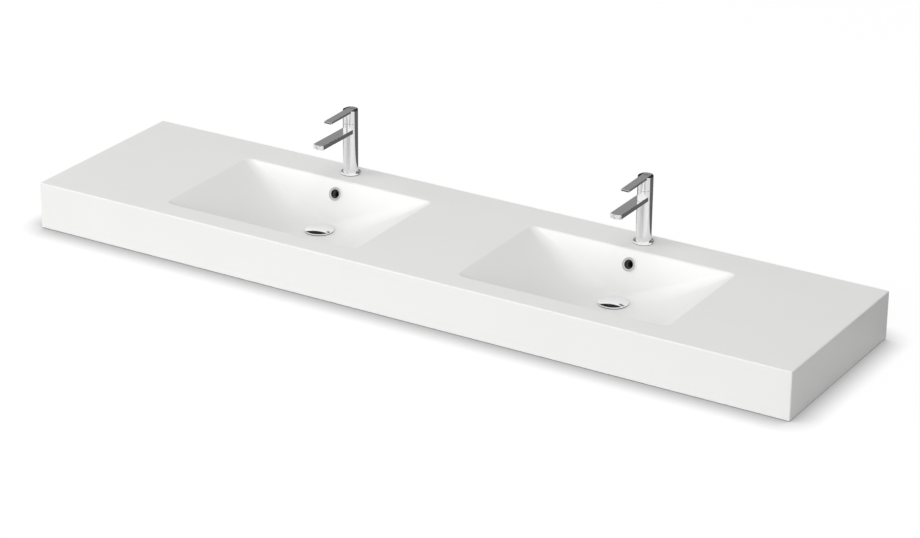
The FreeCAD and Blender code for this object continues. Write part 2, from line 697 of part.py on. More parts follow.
def fixed_disc():
    return without_ports(rod(CARTRIDGE_BORE_R - SEAT_GAP, DISC_Z, SLIDER_Z), DISC_Z, SLIDER_Z)


def cartridge_housing():
    top = SHOULDER_Z + COLLAR_HEIGHT
    housing = rod(CARTRIDGE_R, DISC_Z, SHOULDER_Z).fuse(rod(COLLAR_R, SHOULDER_Z, top))
    housing = housing.cut(rod(CARTRIDGE_BORE_R, DISC_Z, SHOULDER_Z - HOUSING_TOP_THICK))
    return housing.cut(rod(ROTOR_R + MOVING_GAP, DISC_Z, top))


def cartridge_nut():
    return tube(CARTRIDGE_NUT_R, COLLAR_R + SEAT_GAP, SHOULDER_Z, NECK_TOP_Z)


def flow_slider():
    """The upper ceramic disc and its post, shut: behind the column's axis by the hinge's offset."""
    slider = rod(SLIDER_DISC_R, SLIDER_Z + MOVING_GAP, SLIDER_TOP_Z)
    slider = slider.cut(rod(SLIDER_POCKET_R, SLIDER_Z, SLIDER_Z + MOVING_GAP + SLIDER_POCKET_DEPTH))
    post_top = CROWN_Z - MOVING_GAP
    post = bar(POST_HALF_WIDTH, -POST_HALF_LENGTH, POST_HALF_LENGTH, SLIDER_TOP_Z, post_top)
    reach = FINGER_TIP_R + MOVING_GAP
    pocket = bar(FINGER_HALF_WIDTH + MOVING_GAP, -reach, reach, FINGER_TIP_Z - reach, post_top)
    return moved(slider.fuse(post.cut(pocket)), 0, HINGE_OFFSET)


def cartridge_rotor():
    rotor = rod(ROTOR_R, SLIDER_TOP_Z + MOVING_GAP, CROWN_Z)
    rotor = rotor.fuse(rod(ROTOR_FLANGE_R, ROTOR_FLANGE_Z, CROWN_Z))
    back = HINGE_OFFSET + POST_HALF_LENGTH + MOVING_GAP
    front = HINGE_OFFSET - SLIDER_TRAVEL - POST_HALF_LENGTH - MOVING_GAP
    rotor = rotor.cut(bar(POST_HALF_WIDTH + MOVING_GAP, front, back, SLIDER_TOP_Z, CROWN_Z))
    return rotor.cut(rod_along(HEAD_SCREW_R + SEAT_GAP, HEAD_SCREW_START, Y_AXIS, HEAD_SCREW_LENGTH))


def head_screw():
    return rod_along(HEAD_SCREW_R, HEAD_SCREW_START, Y_AXIS, HEAD_SCREW_LENGTH)


# Head and lever, about the column's axis


def shoulder_wedge(hand, slot_half):
    """What the slope beside the lever takes off the head."""
    inner = hand * slot_half
    outer = hand * (TAP_BODY_R + OVERCUT)
    slope = SHOULDER_DROP / (TAP_BODY_R - slot_half)
    above = HEAD_HEIGHT + OVERCUT
    low = HEAD_HEIGHT - slope * (TAP_BODY_R + OVERCUT - slot_half)
    corners = ((inner, HEAD_HEIGHT), (outer, low), (outer, above), (inner, above))
    return outline_face([Vector(x, -TAP_BODY_R, z) for x, z in corners]).extrude(Vector(0, 2 * TAP_BODY_R, 0))


def tap_head():
    foot = SEAM_HEIGHT + SEAM_GAP
    head = rod(TAP_BODY_R, foot, HEAD_HEIGHT).cut(rod(TAP_BODY_R - HEAD_WALL, foot, CROWN_Z))
    slot_half = LEVER_WIDTH / 2 + MOVING_GAP
    for hand in (-1, 1):
        head = head.cut(shoulder_wedge(hand, slot_half))
    slot_floor = HEAD_HEIGHT - LEVER_THICK - LEVER_DROOP / 2
    head = head.cut(bar(slot_half, -TAP_BODY_R, HINGE_OFFSET, slot_floor, HEAD_HEIGHT))
    pocket = rod_across(HEEL_R + MOVING_GAP, slot_half, HINGE_OFFSET, HINGE_Z)
    room = bar(slot_half, -TAP_BODY_R, TAP_BODY_R, HEEL_POCKET_Z, HEAD_HEIGHT + OVERCUT)
    head = head.cut(pocket.common(room))
    reach = FINGER_TIP_R + 2 * MOVING_GAP
    front = HINGE_OFFSET - SLIDER_TRAVEL - reach
    head = head.cut(bar(FINGER_HALF_WIDTH + MOVING_GAP, front, HINGE_OFFSET + reach, CROWN_Z, HINGE_Z))
    hole_start = Vector(-TAP_BODY_R, HINGE_OFFSET, HINGE_Z)
    head = head.cut(rod_along(LEVER_PIN_R + RUNNING_GAP, hole_start, X_AXIS, TAP_BODY_R + LEVER_PIN_HALF))
    screw_hole = rod_along(HEAD_SCREW_R + SEAT_GAP, HEAD_SCREW_START, Y_AXIS, HEAD_SCREW_LENGTH + OVERCUT)
    return head.cut(screw_hole)


def lever_pin():
    return rod_across(LEVER_PIN_R, LEVER_PIN_HALF, HINGE_OFFSET, HINGE_Z)


def lever_strip():
    half = LEVER_WIDTH / 2
    tip_top = HEAD_HEIGHT - LEVER_DROOP
    tip_under = tip_top - LEVER_TIP_THICK
    brow = LEVER_TIP_LEAN - LEVER_REACH
    outline = (
        (HINGE_OFFSET, HEAD_HEIGHT),
        (brow, tip_top),
        (-LEVER_REACH, tip_under),
        (HINGE_OFFSET, HEAD_HEIGHT - LEVER_THICK),
    )
    strip = outline_face([Vector(-half, y, z) for y, z in outline]).extrude(Vector(LEVER_WIDTH, 0, 0))

    def tip_corner(point):
        return near(abs(point.x), half) and point.y <= brow

    def top_edge(point):
        return point.y < 0 and point.z > (tip_top + tip_under) / 2

    return rounded_edges(rounded_edges(strip, LEVER_CORNER_R, tip_corner), LEVER_EDGE_ROUND, top_edge)


def tap_lever():
    half = LEVER_WIDTH / 2
    heel = rod_across(HEEL_R, half, HINGE_OFFSET, HINGE_Z)
    heel = heel.common(bar(half, -TAP_BODY_R, TAP_BODY_R, HINGE_Z - HEEL_CUT, HEAD_HEIGHT))
    front = HINGE_OFFSET - FINGER_HALF_THICK
    back = HINGE_OFFSET + FINGER_HALF_THICK
    finger = bar(FINGER_HALF_WIDTH, front, back, FINGER_TIP_Z, HINGE_Z)
    tip = rod_across(FINGER_TIP_R, FINGER_HALF_WIDTH, HINGE_OFFSET, FINGER_TIP_Z)
    lever = lever_strip().fuse(heel).fuse(finger).fuse(tip)
    return lever.cut(rod_across(LEVER_PIN_R + RUNNING_GAP, half, HINGE_OFFSET, HINGE_Z))


os.makedirs("parts", exist_ok=True)

save("deck_panel", deck_panel())
save("front_apron", front_apron())
save("left_apron", side_apron(-1))
save("right_apron", side_apron(1))
save("back_rail", back_rail())
save("support_ribs", *support_ribs())

# One node at each station
TAP_PIECES = (
    tap_body, tap_base_ring, aerator_shell, aerator_screen, cartridge_base, fixed_disc, cartridge_housing,
    cartridge_nut, flow_slider, cartridge_rotor, head_screw, tap_head, lever_pin, tap_lever,
)
WASTE_PIECES = (waste_body, waste_cap, plug_seal, plunger, plug_spring)
BOWL_PIECES = (bowl, overflow_ring, overflow_pipe)
for makers, setback in ((TAP_PIECES, TAP_SETBACK), (WASTE_PIECES, DRAIN_SETBACK), (BOWL_PIECES, 0)):
    for make in makers:
        piece = make()
        for side, x in STATIONS:
            save(side + "_" + make.__name__, moved(piece, x, -setback))

# One node for the same small piece at both stations
PAIRS = {
    "tap_seals": (tap_seal(), TAP_SETBACK),
    "tap_studs": (tap_stud(), TAP_SETBACK),
    "tap_clamp_pads": (clamp_piece(PAD_Z, -SHEET), TAP_SETBACK),
    "tap_clamp_plates": (clamp_piece(PLATE_Z, PAD_Z), TAP_SETBACK),
    "tap_nuts": (tap_nut(), TAP_SETBACK),
    "waste_upper_seals": (waste_upper_seal(), DRAIN_SETBACK),
    "waste_lower_seals": (waste_lower_seal(), DRAIN_SETBACK),
    "waste_nuts": (waste_nut(), DRAIN_SETBACK),
}
for name, (piece, setback) in PAIRS.items():
    save(name, *[moved(piece, x, -setback) for _, x in STATIONS])
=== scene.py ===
import json
import math

import bmesh
import bpy
from mathutils import Matrix, Vector
from mathutils.kdtree import KDTree


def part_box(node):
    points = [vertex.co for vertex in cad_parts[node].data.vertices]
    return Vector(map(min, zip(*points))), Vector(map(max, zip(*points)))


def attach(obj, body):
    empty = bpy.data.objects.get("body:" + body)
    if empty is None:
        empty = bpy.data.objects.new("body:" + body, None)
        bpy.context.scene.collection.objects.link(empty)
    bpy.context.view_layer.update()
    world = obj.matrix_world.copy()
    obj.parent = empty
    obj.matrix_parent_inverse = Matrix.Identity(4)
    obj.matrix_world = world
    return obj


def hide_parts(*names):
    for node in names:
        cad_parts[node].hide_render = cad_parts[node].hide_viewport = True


# Dresses the double washbasin: a seamless slab with two bowls, chrome taps, wastes and overflow rings.
# Metres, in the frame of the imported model: +X along the slab, +Y into the wall, +Z up.

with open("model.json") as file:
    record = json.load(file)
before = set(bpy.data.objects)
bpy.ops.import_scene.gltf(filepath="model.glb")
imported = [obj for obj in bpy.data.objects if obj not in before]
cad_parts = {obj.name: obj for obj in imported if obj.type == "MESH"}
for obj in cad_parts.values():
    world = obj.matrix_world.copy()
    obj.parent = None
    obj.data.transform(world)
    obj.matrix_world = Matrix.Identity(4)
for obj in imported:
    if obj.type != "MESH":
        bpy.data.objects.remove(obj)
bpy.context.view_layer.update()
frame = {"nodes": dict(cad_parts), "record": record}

# Places read from the frame
DECK_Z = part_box("deck_panel")[1].z
DECK_UNDER_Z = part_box("deck_panel")[0].z
SLAB_FOOT_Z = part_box("front_apron")[0].z
SLAB_END_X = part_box("deck_panel")[1].x
SLAB_FRONT_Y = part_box("deck_panel")[0].y
SHEET = DECK_Z - DECK_UNDER_Z
STATION_X = (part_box("right_waste_cap")[0].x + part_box("right_waste_cap")[1].x) / 2
STATIONS = (("left", -STATION_X), ("right", STATION_X))

# Slab and bowls
EDGE_ROUND = 0.0025
BOWL_WIDTH = 0.480
BOWL_BACK_Y = -0.090
BOWL_FRONT_Y = -0.393
BOWL_DEPTH = 0.092
BOWL_WALL = 0.010
RIM_CORNER_R = 0.014
FLOOR_CORNER_GAIN = 0.053
FLOOR_CORNER_SHARE = 0.8
SIDE_WALL = {"slope": 27.0, "cove": 0.120, "rim_round": 0.014}
BACK_WALL = {"slope": 69.0, "cove": 0.012, "rim_round": 0.008}
FRONT_WALL = {"slope": 66.0, "cove": 0.030, "rim_round": 0.008}
RIM_SUPPORT = 0.001

# Waste and overflow
DRAIN_Y = (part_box("right_waste_cap")[0].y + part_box("right_waste_cap")[1].y) / 2
DRAIN_HOLE_R = 0.023
RECESS_R = 0.0318
RECESS_DEPTH = 0.0035
CAP_R = 0.0325
CAP_TOP_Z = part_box("right_waste_cap")[1].z
CAP_BOSS_R = 0.008
CAP_SEAL_R = 0.0287
CAP_DOME = 0.0035
CAP_EDGE_ROUND = 0.0012
CAP_SKIRT = 0.0052
CAP_CEILING = 0.0045
CAP_BOSS_DROP = 0.0080
OVERFLOW_DROP = 0.029
OVERFLOW_RING_R = 0.016
OVERFLOW_RING_THICK = 0.0025
OVERFLOW_HOLE_R = 0.010
OVERFLOW_SLEEVE_R = 0.0118
OVERFLOW_BORE_R = 0.0119

# Tap
TAP_Y = -0.040
TAP_HOLE_R = 0.0175
COLUMN_R = 0.0165
COLUMN_FOOT_Z = DECK_Z + 0.0022
SEAM_Z = DECK_Z + 0.1185
NECK_R = 0.0142
NECK_TOP_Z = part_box("right_tap_body")[1].z
CHAMBER_R = 0.0126
CHAMBER_FLOOR_Z = SEAM_Z - 0.011
NUT_SEAT_R = 0.0133
NUT_SEAT_Z = DECK_Z + 0.125
SPOUT_TOP_Z = SEAM_Z - 0.012
SPOUT_THICK = 0.010
SPOUT_WIDTH = 0.026
SPOUT_REACH = 0.131
SPOUT_NOSE = 0.004
SPOUT_EDGE_ROUND = 0.0008
AERATOR_SETBACK = 0.014
AERATOR_SEAT_R = 0.0091
AERATOR_SEAT_DEPTH = 0.0065
INLET_OFFSET = 0.0062
INLET_R = 0.0045
INLET_LENGTH = 0.012
BASE_RING_R = 0.0225
BASE_RING_SEAT_R = 0.0166
BASE_RING_BORE_R = 0.013
BASE_RING_ROUND = 0.0032

# Head and lever
HEAD_FOOT_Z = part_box("right_tap_head")[0].z
HEAD_TOP_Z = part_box("right_tap_head")[1].z
HEAD_BORE_R = 0.0145
CROWN_Z = DECK_Z + 0.1335
HEEL_POCKET_Z = CROWN_Z + 0.0025
HINGE_Y = TAP_Y + 0.0025
HEEL_R = 0.007
HEEL_CUT = 0.0035
HINGE_Z = HEAD_TOP_Z - HEEL_R
LIFT_ANGLE = math.radians(25)
SHOULDER_DROP = 0.0012
HEAD_EDGE_ROUND = 0.0002
LEVER_WIDTH = 0.019
LEVER_THICK = 0.0045
LEVER_TIP_THICK = 0.0036
LEVER_REACH = 0.091
LEVER_DROOP = 0.002
LEVER_TIP_LEAN = 0.0003
LEVER_CORNER_R = 0.002
LEVER_EDGE_ROUND = 0.0006
LEVER_GAP = 0.0003
PIN_BORE_R = 0.00155
PIN_HALF = 0.013
FINGER_TIP_Z = CROWN_Z - 0.002
FINGER_HALF_WIDTH = 0.002
FINGER_HALF_THICK = 0.001
FINGER_TIP_R = 0.0017
SCREW_BORE_R = 0.0016
SCREW_Z = CROWN_Z - 0.00115

# How finely round shapes are divided, the angle from which an edge is sharp, and how far a cutting shape
# passes the face that it opens
ROUND_SIDES = 96
CORNER_STEPS = 16
LONG_SIDE_STEPS = 24
SHORT_SIDE_STEPS = 16
ROUND_STEPS = 5
DOME_STEPS = 12
SPOUT_END_STEPS = 24
RIM_STEPS = 10
SLOPE_STEPS = 8
COVE_STEPS = 16
SHARP_ANGLE = math.radians(40)
SMOOTH_ANGLE = math.radians(30)
OVERCUT = 0.002
TOUCH = 1e-6


# Modelling helpers


def start_piece(name):
    """Names the primitive that was just added and opens it for editing."""
    piece = bpy.context.object
    piece.name = name
    piece.data.name = name
    bpy.ops.object.mode_set(mode="EDIT")
    bpy.ops.mesh.select_mode(type="VERT")
    bpy.ops.mesh.select_all(action="SELECT")
    return piece


def close_piece(piece):
    bpy.ops.object.mode_set(mode="OBJECT")
    return piece


def only(piece):
    bpy.ops.object.select_all(action="DESELECT")
    piece.select_set(True)
    bpy.context.view_layer.objects.active = piece


def pick(piece, kind, wanted):
    """In edit mode, selects the vertices, edges or faces that pass a test, and nothing else."""
    bpy.ops.mesh.select_mode(type=kind)
    bpy.ops.mesh.select_all(action="DESELECT")
    mesh = bmesh.from_edit_mesh(piece.data)
    for element in {"VERT": mesh.verts, "EDGE": mesh.edges, "FACE": mesh.faces}[kind]:
        if wanted(element):
            element.select_set(True)
    mesh.select_flush_mode()
    bmesh.update_edit_mesh(piece.data)


def near(a, b):
    return abs(a - b) < TOUCH


def both_ends(edge, wanted):
    return all(wanted(vertex.co) for vertex in edge.verts)


def with_modifier(piece, kind, **settings):
    """Adds a modifier and applies it."""
    only(piece)
    modifier = piece.modifiers.new(kind.lower(), kind)
    for key, value in settings.items():
        setattr(modifier, key, value)
    bpy.ops.object.modifier_apply(modifier=modifier.name)
    return piece


def combine(piece, other, operation):
    """Joins another shape to a piece, or cuts it out, and deletes the other shape."""
    with_modifier(piece, "BOOLEAN", object=other, operation=operation, solver="EXACT")
    bpy.data.objects.remove(other)
    return piece


def join(pieces):
    only(pieces[0])
    for piece in pieces[1:]:
        piece.select_set(True)
    bpy.ops.object.join()
    return pieces[0]


def moved(piece, x=0.0, y=0.0, z=0.0, tilt=0.0):
    """Tilts a piece about X, moves it, and puts its place into its mesh."""
    only(piece)
    piece.rotation_euler = (tilt, 0, 0)
    piece.location = (x, y, z)
    bpy.ops.object.transform_apply(location=True, rotation=True, scale=True)
    return piece


def copied(piece, name):
    twin = piece.copy()
    twin.data = piece.data.copy()
    twin.name = name
    twin.data.name = name
    bpy.context.scene.collection.objects.link(twin)
    return twin


def smoothed(piece):
    """Smooth shading that keeps the sharp edges, with flat faces flat up to their rounded edges."""
    only(piece)
    bpy.ops.object.shade_smooth_by_angle(angle=SMOOTH_ANGLE)
    return with_modifier(piece, "WEIGHTED_NORMAL", keep_sharp=True, weight=100)


def rod(radius, z0, z1, x=0.0, y=0.0, sides=ROUND_SIDES):
    """A plain upright rod, for cutting and joining."""
    bpy.ops.object.select_all(action="DESELECT")
    bpy.ops.mesh.primitive_cylinder_add(
        vertices=sides, radius=radius, depth=z1 - z0, location=(x, y, (z0 + z1) / 2)
    )
    return moved_in_place(bpy.context.object)


def rod_across(radius, x0, x1, y, z):
    """A plain rod along X."""
    bpy.ops.object.select_all(action="DESELECT")
    bpy.ops.mesh.primitive_cylinder_add(
        vertices=ROUND_SIDES, radius=radius, depth=x1 - x0,
        location=((x0 + x1) / 2, y, z), rotation=(0, math.pi / 2, 0)
    )
    return moved_in_place(bpy.context.object)


def block(x0, x1, y0, y1, z0, z1):
    """A plain block, for cutting and joining."""
    bpy.ops.object.select_all(action="DESELECT")
    middle = ((x0 + x1) / 2, (y0 + y1) / 2, (z0 + z1) / 2)
    bpy.ops.mesh.primitive_cube_add(size=1, location=middle, scale=(x1 - x0, y1 - y0, z1 - z0))
    return moved_in_place(bpy.context.object)


def moved_in_place(piece):
    bpy.ops.object.transform_apply(location=True, rotation=True, scale=True)
    return piece


def turned(name, outline, rounds=(), sides=ROUND_SIDES):
    """A piece spun about Z from an outline of (radius, height) points.
    Each of rounds is a point of the outline and the radius of its corner."""
    bpy.ops.object.select_all(action="DESELECT")
    bpy.ops.mesh.primitive_plane_add(size=0.001)
    piece = start_piece(name)
    bpy.ops.mesh.merge(type="CENTER")
    bpy.ops.transform.translate(value=(outline[0][0], 0, outline[0][1]))
    for (r0, z0), (r1, z1) in zip(outline, outline[1:]):
        bpy.ops.mesh.extrude_region_move(TRANSFORM_OT_translate={"value": (r1 - r0, 0, z1 - z0)})
    bpy.ops.mesh.select_all(action="SELECT")
    bpy.ops.mesh.remove_doubles(threshold=TOUCH)
    for (r, z), radius in rounds:
        pick(piece, "VERT", lambda vertex: (vertex.co - Vector((r, 0, z))).length < 10 * TOUCH)
        bpy.ops.mesh.bevel(offset=radius, segments=ROUND_STEPS, affect="VERTICES")
    bpy.ops.mesh.select_all(action="SELECT")
    bpy.ops.mesh.spin(steps=sides, angle=2 * math.pi, center=(0, 0, 0), axis=(0, 0, 1))
    bpy.ops.mesh.select_all(action="SELECT")
    bpy.ops.mesh.remove_doubles(threshold=TOUCH)
    bpy.ops.mesh.normals_make_consistent(inside=False)
    return close_piece(piece)


# Bowl shape


def wall_run(drop, slope, cove, rim_round, wall=0.0):
    """How far inside the rim a bowl wall stands at a drop below the deck: a rounded rim, a straight slope
    and a cove into the floor. With a wall thickness it gives the shell's outer face, which has no rim."""
    tilt = math.radians(slope)
    radius = cove + wall
    bottom = BOWL_DEPTH + wall
    rim_drop = 0 if wall else rim_round * (1 - math.cos(tilt))
    cove_drop = bottom - radius * (1 - math.cos(tilt))
    if drop < rim_drop:
        return math.sqrt(2 * rim_round * drop - drop ** 2) - rim_round * math.tan(tilt / 2)
    straight = min(drop, cove_drop) / math.tan(tilt) - wall / math.sin(tilt)
    if drop <= cove_drop:
        return straight
    above_centre = radius - (bottom - drop)
    return straight + radius * math.sin(tilt) - math.sqrt(max(radius ** 2 - above_centre ** 2, 0))


def rounded_loop(half_width, front, back, corner, z):
    """Points round a rectangle with rounded corners about the right station, from its front right corner."""
    right = half_width - corner
    corners = (
        (right, front + corner, -90, SHORT_SIDE_STEPS),
        (right, back - corner, 0, LONG_SIDE_STEPS),
        (-right, back - corner, 90, SHORT_SIDE_STEPS),
        (-right, front + corner, 180, LONG_SIDE_STEPS),
    )
    arcs = []
    for x, y, first, side_steps in corners:
        arc = []
        for step in range(CORNER_STEPS + 1):
            turn = math.radians(first + 90 * step / CORNER_STEPS)
            arc.append(Vector((STATION_X + x + corner * math.cos(turn), y + corner * math.sin(turn), z)))
        arcs.append((arc, side_steps))
    loop = []
    for index, (arc, side_steps) in enumerate(arcs):
        following = arcs[(index + 1) % len(arcs)][0][0]
        loop += arc
        loop += [arc[-1].lerp(following, step / side_steps) for step in range(1, side_steps)]
    return loop


def square_loop(x0, x1, y0, y1, z):
    """As many points as a rounded loop has, round a plain rectangle, with a point on each corner."""
    corners = [Vector((x, y, z)) for x, y in ((x1, y0), (x1, y1), (x0, y1), (x0, y0))]
    half_corner = CORNER_STEPS // 2
    loop = []
    for index, side_steps in enumerate(2 * (SHORT_SIDE_STEPS, LONG_SIDE_STEPS)):
        steps = side_steps + 2 * half_corner
        following = corners[(index + 1) % 4]
        loop += [corners[index].lerp(following, step / steps) for step in range(steps)]
    return loop[-half_corner:] + loop[:-half_corner]


def bowl_loop(drop, wall=0.0, outside=0.0):
    """The bowl's inner face, or its shell's outer face, at a drop below the deck."""
    half_width = BOWL_WIDTH / 2 - wall_run(drop, wall=wall, **SIDE_WALL)
    back_run = wall_run(drop, wall=wall, **BACK_WALL)
    front_run = wall_run(drop, wall=wall, **FRONT_WALL)
    corner = RIM_CORNER_R + FLOOR_CORNER_GAIN * drop / BOWL_DEPTH - min(back_run, 0)
    corner = min(corner, FLOOR_CORNER_SHARE * half_width)
    front = BOWL_FRONT_Y + front_run - outside
    back = BOWL_BACK_Y - back_run + outside
    return rounded_loop(half_width + outside, front, back, corner + outside, DECK_Z - drop)


def bowl_drops(top, bottom, slope_top, cove_top):
    """Drops at which the bowl's loops lie, closest at the rim and at the floor, where it curves most."""
    drops = [top + (slope_top - top) * (step / RIM_STEPS) ** 2 for step in range(RIM_STEPS)]
    drops += [slope_top + (cove_top - slope_top) * step / SLOPE_STEPS for step in range(SLOPE_STEPS)]
    drops += [bottom - (bottom - cove_top) * (1 - step / COVE_STEPS) ** 2 for step in range(COVE_STEPS + 1)]
    return drops


def arc_drop(wall, radius):
    """How far a round at a wall's rim or foot reaches down or up before the straight slope."""
    return radius * (1 - math.cos(math.radians(wall["slope"])))


def set_loop(piece, old, new):
    """Moves the selected vertices from one loop's points to the next one's."""
    finder = KDTree(len(old))
    for index, point in enumerate(old):
        finder.insert(point, index)
    finder.balance()
    mesh = bmesh.from_edit_mesh(piece.data)
    for vertex in mesh.verts:
        if vertex.select:
            vertex.co = new[finder.find(vertex.co)[1]]
    bmesh.update_edit_mesh(piece.data)


def loft(piece, loops):
    """Extrudes the selected circle from loop to loop and closes the last one."""
    mesh = bmesh.from_edit_mesh(piece.data)
    circle = [vertex for vertex in mesh.verts if vertex.select]
    for vertex, point in zip(circle, loops[0]):
        vertex.co = point
    bmesh.update_edit_mesh(piece.data)
    for old, new in zip(loops, loops[1:]):
        bpy.ops.mesh.extrude_edges_move()
        set_loop(piece, old, new)
    bpy.ops.mesh.edge_face_add()


def drop_walls(piece, end_x, front_y, z, foot_z):
    """Extrudes a sheet's front and end edges down to the slab's foot."""

    def on_edge(edge):
        at_front = both_ends(edge, lambda co: near(co.y, front_y) and near(co.z, z))
        at_end = both_ends(edge, lambda co: near(co.x, end_x) and near(co.z, z))
        return at_front or at_end

    pick(piece, "EDGE", on_edge)
    bpy.ops.mesh.extrude_edges_move(TRANSFORM_OT_translate={"value": (0, 0, foot_z - z)})


def slab_half():
    """The right half of the slab, open at x = 0: an upper skin and an under skin that are joined at their
    free edges."""
    slope_top = arc_drop(BACK_WALL, BACK_WALL["rim_round"])
    inner = bowl_drops(0, BOWL_DEPTH, slope_top, BOWL_DEPTH - arc_drop(FRONT_WALL, FRONT_WALL["cove"]))
    upper = [square_loop(0, SLAB_END_X, SLAB_FRONT_Y, 0, DECK_Z), bowl_loop(0, outside=RIM_SUPPORT)]
    upper += [bowl_loop(drop) for drop in inner]
    shell_foot = BOWL_DEPTH + BOWL_WALL
    shell_cove = shell_foot - arc_drop(FRONT_WALL, FRONT_WALL["cove"] + BOWL_WALL)
    outer = bowl_drops(SHEET, shell_foot, 2 * SHEET, shell_cove)
    under_end = SLAB_END_X - SHEET
    under_front = SLAB_FRONT_Y + SHEET
    under = [square_loop(0, under_end, under_front, 0, DECK_UNDER_Z)]
    under += [bowl_loop(drop, BOWL_WALL) for drop in outer]

    bpy.ops.object.select_all(action="DESELECT")
    bpy.ops.mesh.primitive_circle_add(vertices=len(upper[0]), radius=BOWL_WIDTH)
    piece = start_piece("slab")
    loft(piece, upper)
    drop_walls(piece, SLAB_END_X, SLAB_FRONT_Y, DECK_Z, SLAB_FOOT_Z)
    bpy.ops.mesh.select_all(action="DESELECT")
    bpy.ops.mesh.primitive_circle_add(vertices=len(under[0]), radius=BOWL_WIDTH)
    loft(piece, under)
    drop_walls(piece, under_end, under_front, DECK_UNDER_Z, SLAB_FOOT_Z)

    def free(edge):
        return edge.is_boundary and not both_ends(edge, lambda co: near(co.x, 0))

    pick(piece, "EDGE", free)
    bpy.ops.mesh.bridge_edge_loops()
    return close_piece(piece)


def overflow_place():
    """The overflow's centre on the bowl's back wall, and the tilt that turns +Z out through that wall."""
    tilt = math.radians(BACK_WALL["slope"])
    return BOWL_BACK_Y - wall_run(OVERFLOW_DROP, **BACK_WALL), DECK_Z - OVERFLOW_DROP, -(math.pi - tilt)


def slab_cuts(x):
    """What is cut out of the slab at one station: stepped drain, tap hole and tilted overflow hole."""
    floor_z = DECK_Z - BOWL_DEPTH
    low = floor_z - BOWL_WALL - OVERCUT
    recess_z = floor_z - RECESS_DEPTH
    high = floor_z + 4 * OVERCUT
    outline = (
        (0, low), (DRAIN_HOLE_R, low), (DRAIN_HOLE_R, recess_z), (RECESS_R, recess_z), (RECESS_R, high),
        (0, high)
    )
    drain = moved(turned("drain_cut", outline), x, DRAIN_Y)
    tap = rod(TAP_HOLE_R, DECK_UNDER_Z - OVERCUT, DECK_Z + OVERCUT, x, TAP_Y)
    overflow = rod(OVERFLOW_BORE_R, -OVERCUT, BOWL_WALL + 2 * OVERCUT)
    y, z, tilt = overflow_place()
    return [drain, tap, moved(overflow, x, y, z, tilt)]


def slab():
    piece = with_modifier(slab_half(), "MIRROR", use_axis=(True, False, False), merge_threshold=10 * TOUCH)
    only(piece)
    bpy.ops.object.mode_set(mode="EDIT")
    bpy.ops.mesh.select_all(action="SELECT")
    bpy.ops.mesh.normals_make_consistent(inside=False)

    def outer_edge(edge):
        top = both_ends(edge, lambda co: near(co.z, DECK_Z))
        foot = both_ends(edge, lambda co: near(co.z, SLAB_FOOT_Z))
        front = both_ends(edge, lambda co: near(co.y, SLAB_FRONT_Y))
        end = both_ends(edge, lambda co: near(abs(co.x), SLAB_END_X))
        return (front and end) or ((top or foot) and (front or end))

    pick(piece, "EDGE", outer_edge)
    bpy.ops.mesh.bevel(offset=EDGE_ROUND, segments=ROUND_STEPS, affect="EDGES")
    close_piece(piece)
    cutters = []
    for _, x in STATIONS:
        cutters += slab_cuts(x)
    combine(piece, join(cutters), "DIFFERENCE")
    return smoothed(piece)


# Waste cap, overflow ring and tap, made about the middle of a station


def dome_outline():
    """The cap's crown from its edge to its middle."""
    radius = (CAP_R ** 2 + CAP_DOME ** 2) / (2 * CAP_DOME)
    sweep = math.asin(CAP_R / radius)
    points = []
    for step in range(DOME_STEPS + 1):
        turn = sweep * (1 - step / DOME_STEPS)
        points.append((radius * math.sin(turn), CAP_TOP_Z - radius * (1 - math.cos(turn))))
    return points


def waste_cap():
    skirt = CAP_TOP_Z - CAP_SKIRT
    ceiling = CAP_TOP_Z - CAP_CEILING
    boss = CAP_TOP_Z - CAP_BOSS_DROP
    outline = [
        (0, boss), (CAP_BOSS_R, boss), (CAP_BOSS_R, ceiling), (CAP_SEAL_R, ceiling), (CAP_SEAL_R, skirt),
        (CAP_R, skirt)
    ]
    dome = dome_outline()
    piece = turned("waste_cap", outline + dome, [(dome[0], CAP_EDGE_ROUND)])
    return smoothed(moved(piece, y=DRAIN_Y))


def overflow_ring():
    face = -OVERFLOW_RING_THICK
    outer = (OVERFLOW_RING_R, face)
    lip = (OVERFLOW_HOLE_R, face)
    outline = [
        lip, outer, (OVERFLOW_RING_R, 0), (OVERFLOW_SLEEVE_R, 0), (OVERFLOW_SLEEVE_R, BOWL_WALL),
        (OVERFLOW_HOLE_R, BOWL_WALL), lip
    ]
    rounds = [(outer, OVERFLOW_RING_THICK / 2), (lip, OVERFLOW_RING_THICK / 3)]
    piece = turned("overflow_ring", outline, rounds)
    y, z, tilt = overflow_place()
    return smoothed(moved(piece, 0, y, z, tilt))


def tap_base_ring():
    low, high = [corner.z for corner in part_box("right_tap_base_ring")]
    top = (BASE_RING_R, high)
    outline = [
        (BASE_RING_BORE_R, low), (BASE_RING_R, low), top, (BASE_RING_SEAT_R, high),
        (BASE_RING_SEAT_R, COLUMN_FOOT_Z), (BASE_RING_BORE_R, COLUMN_FOOT_Z), (BASE_RING_BORE_R, low)
    ]
    return smoothed(moved(turned("tap_base_ring", outline, [(top, BASE_RING_ROUND)]), y=TAP_Y))


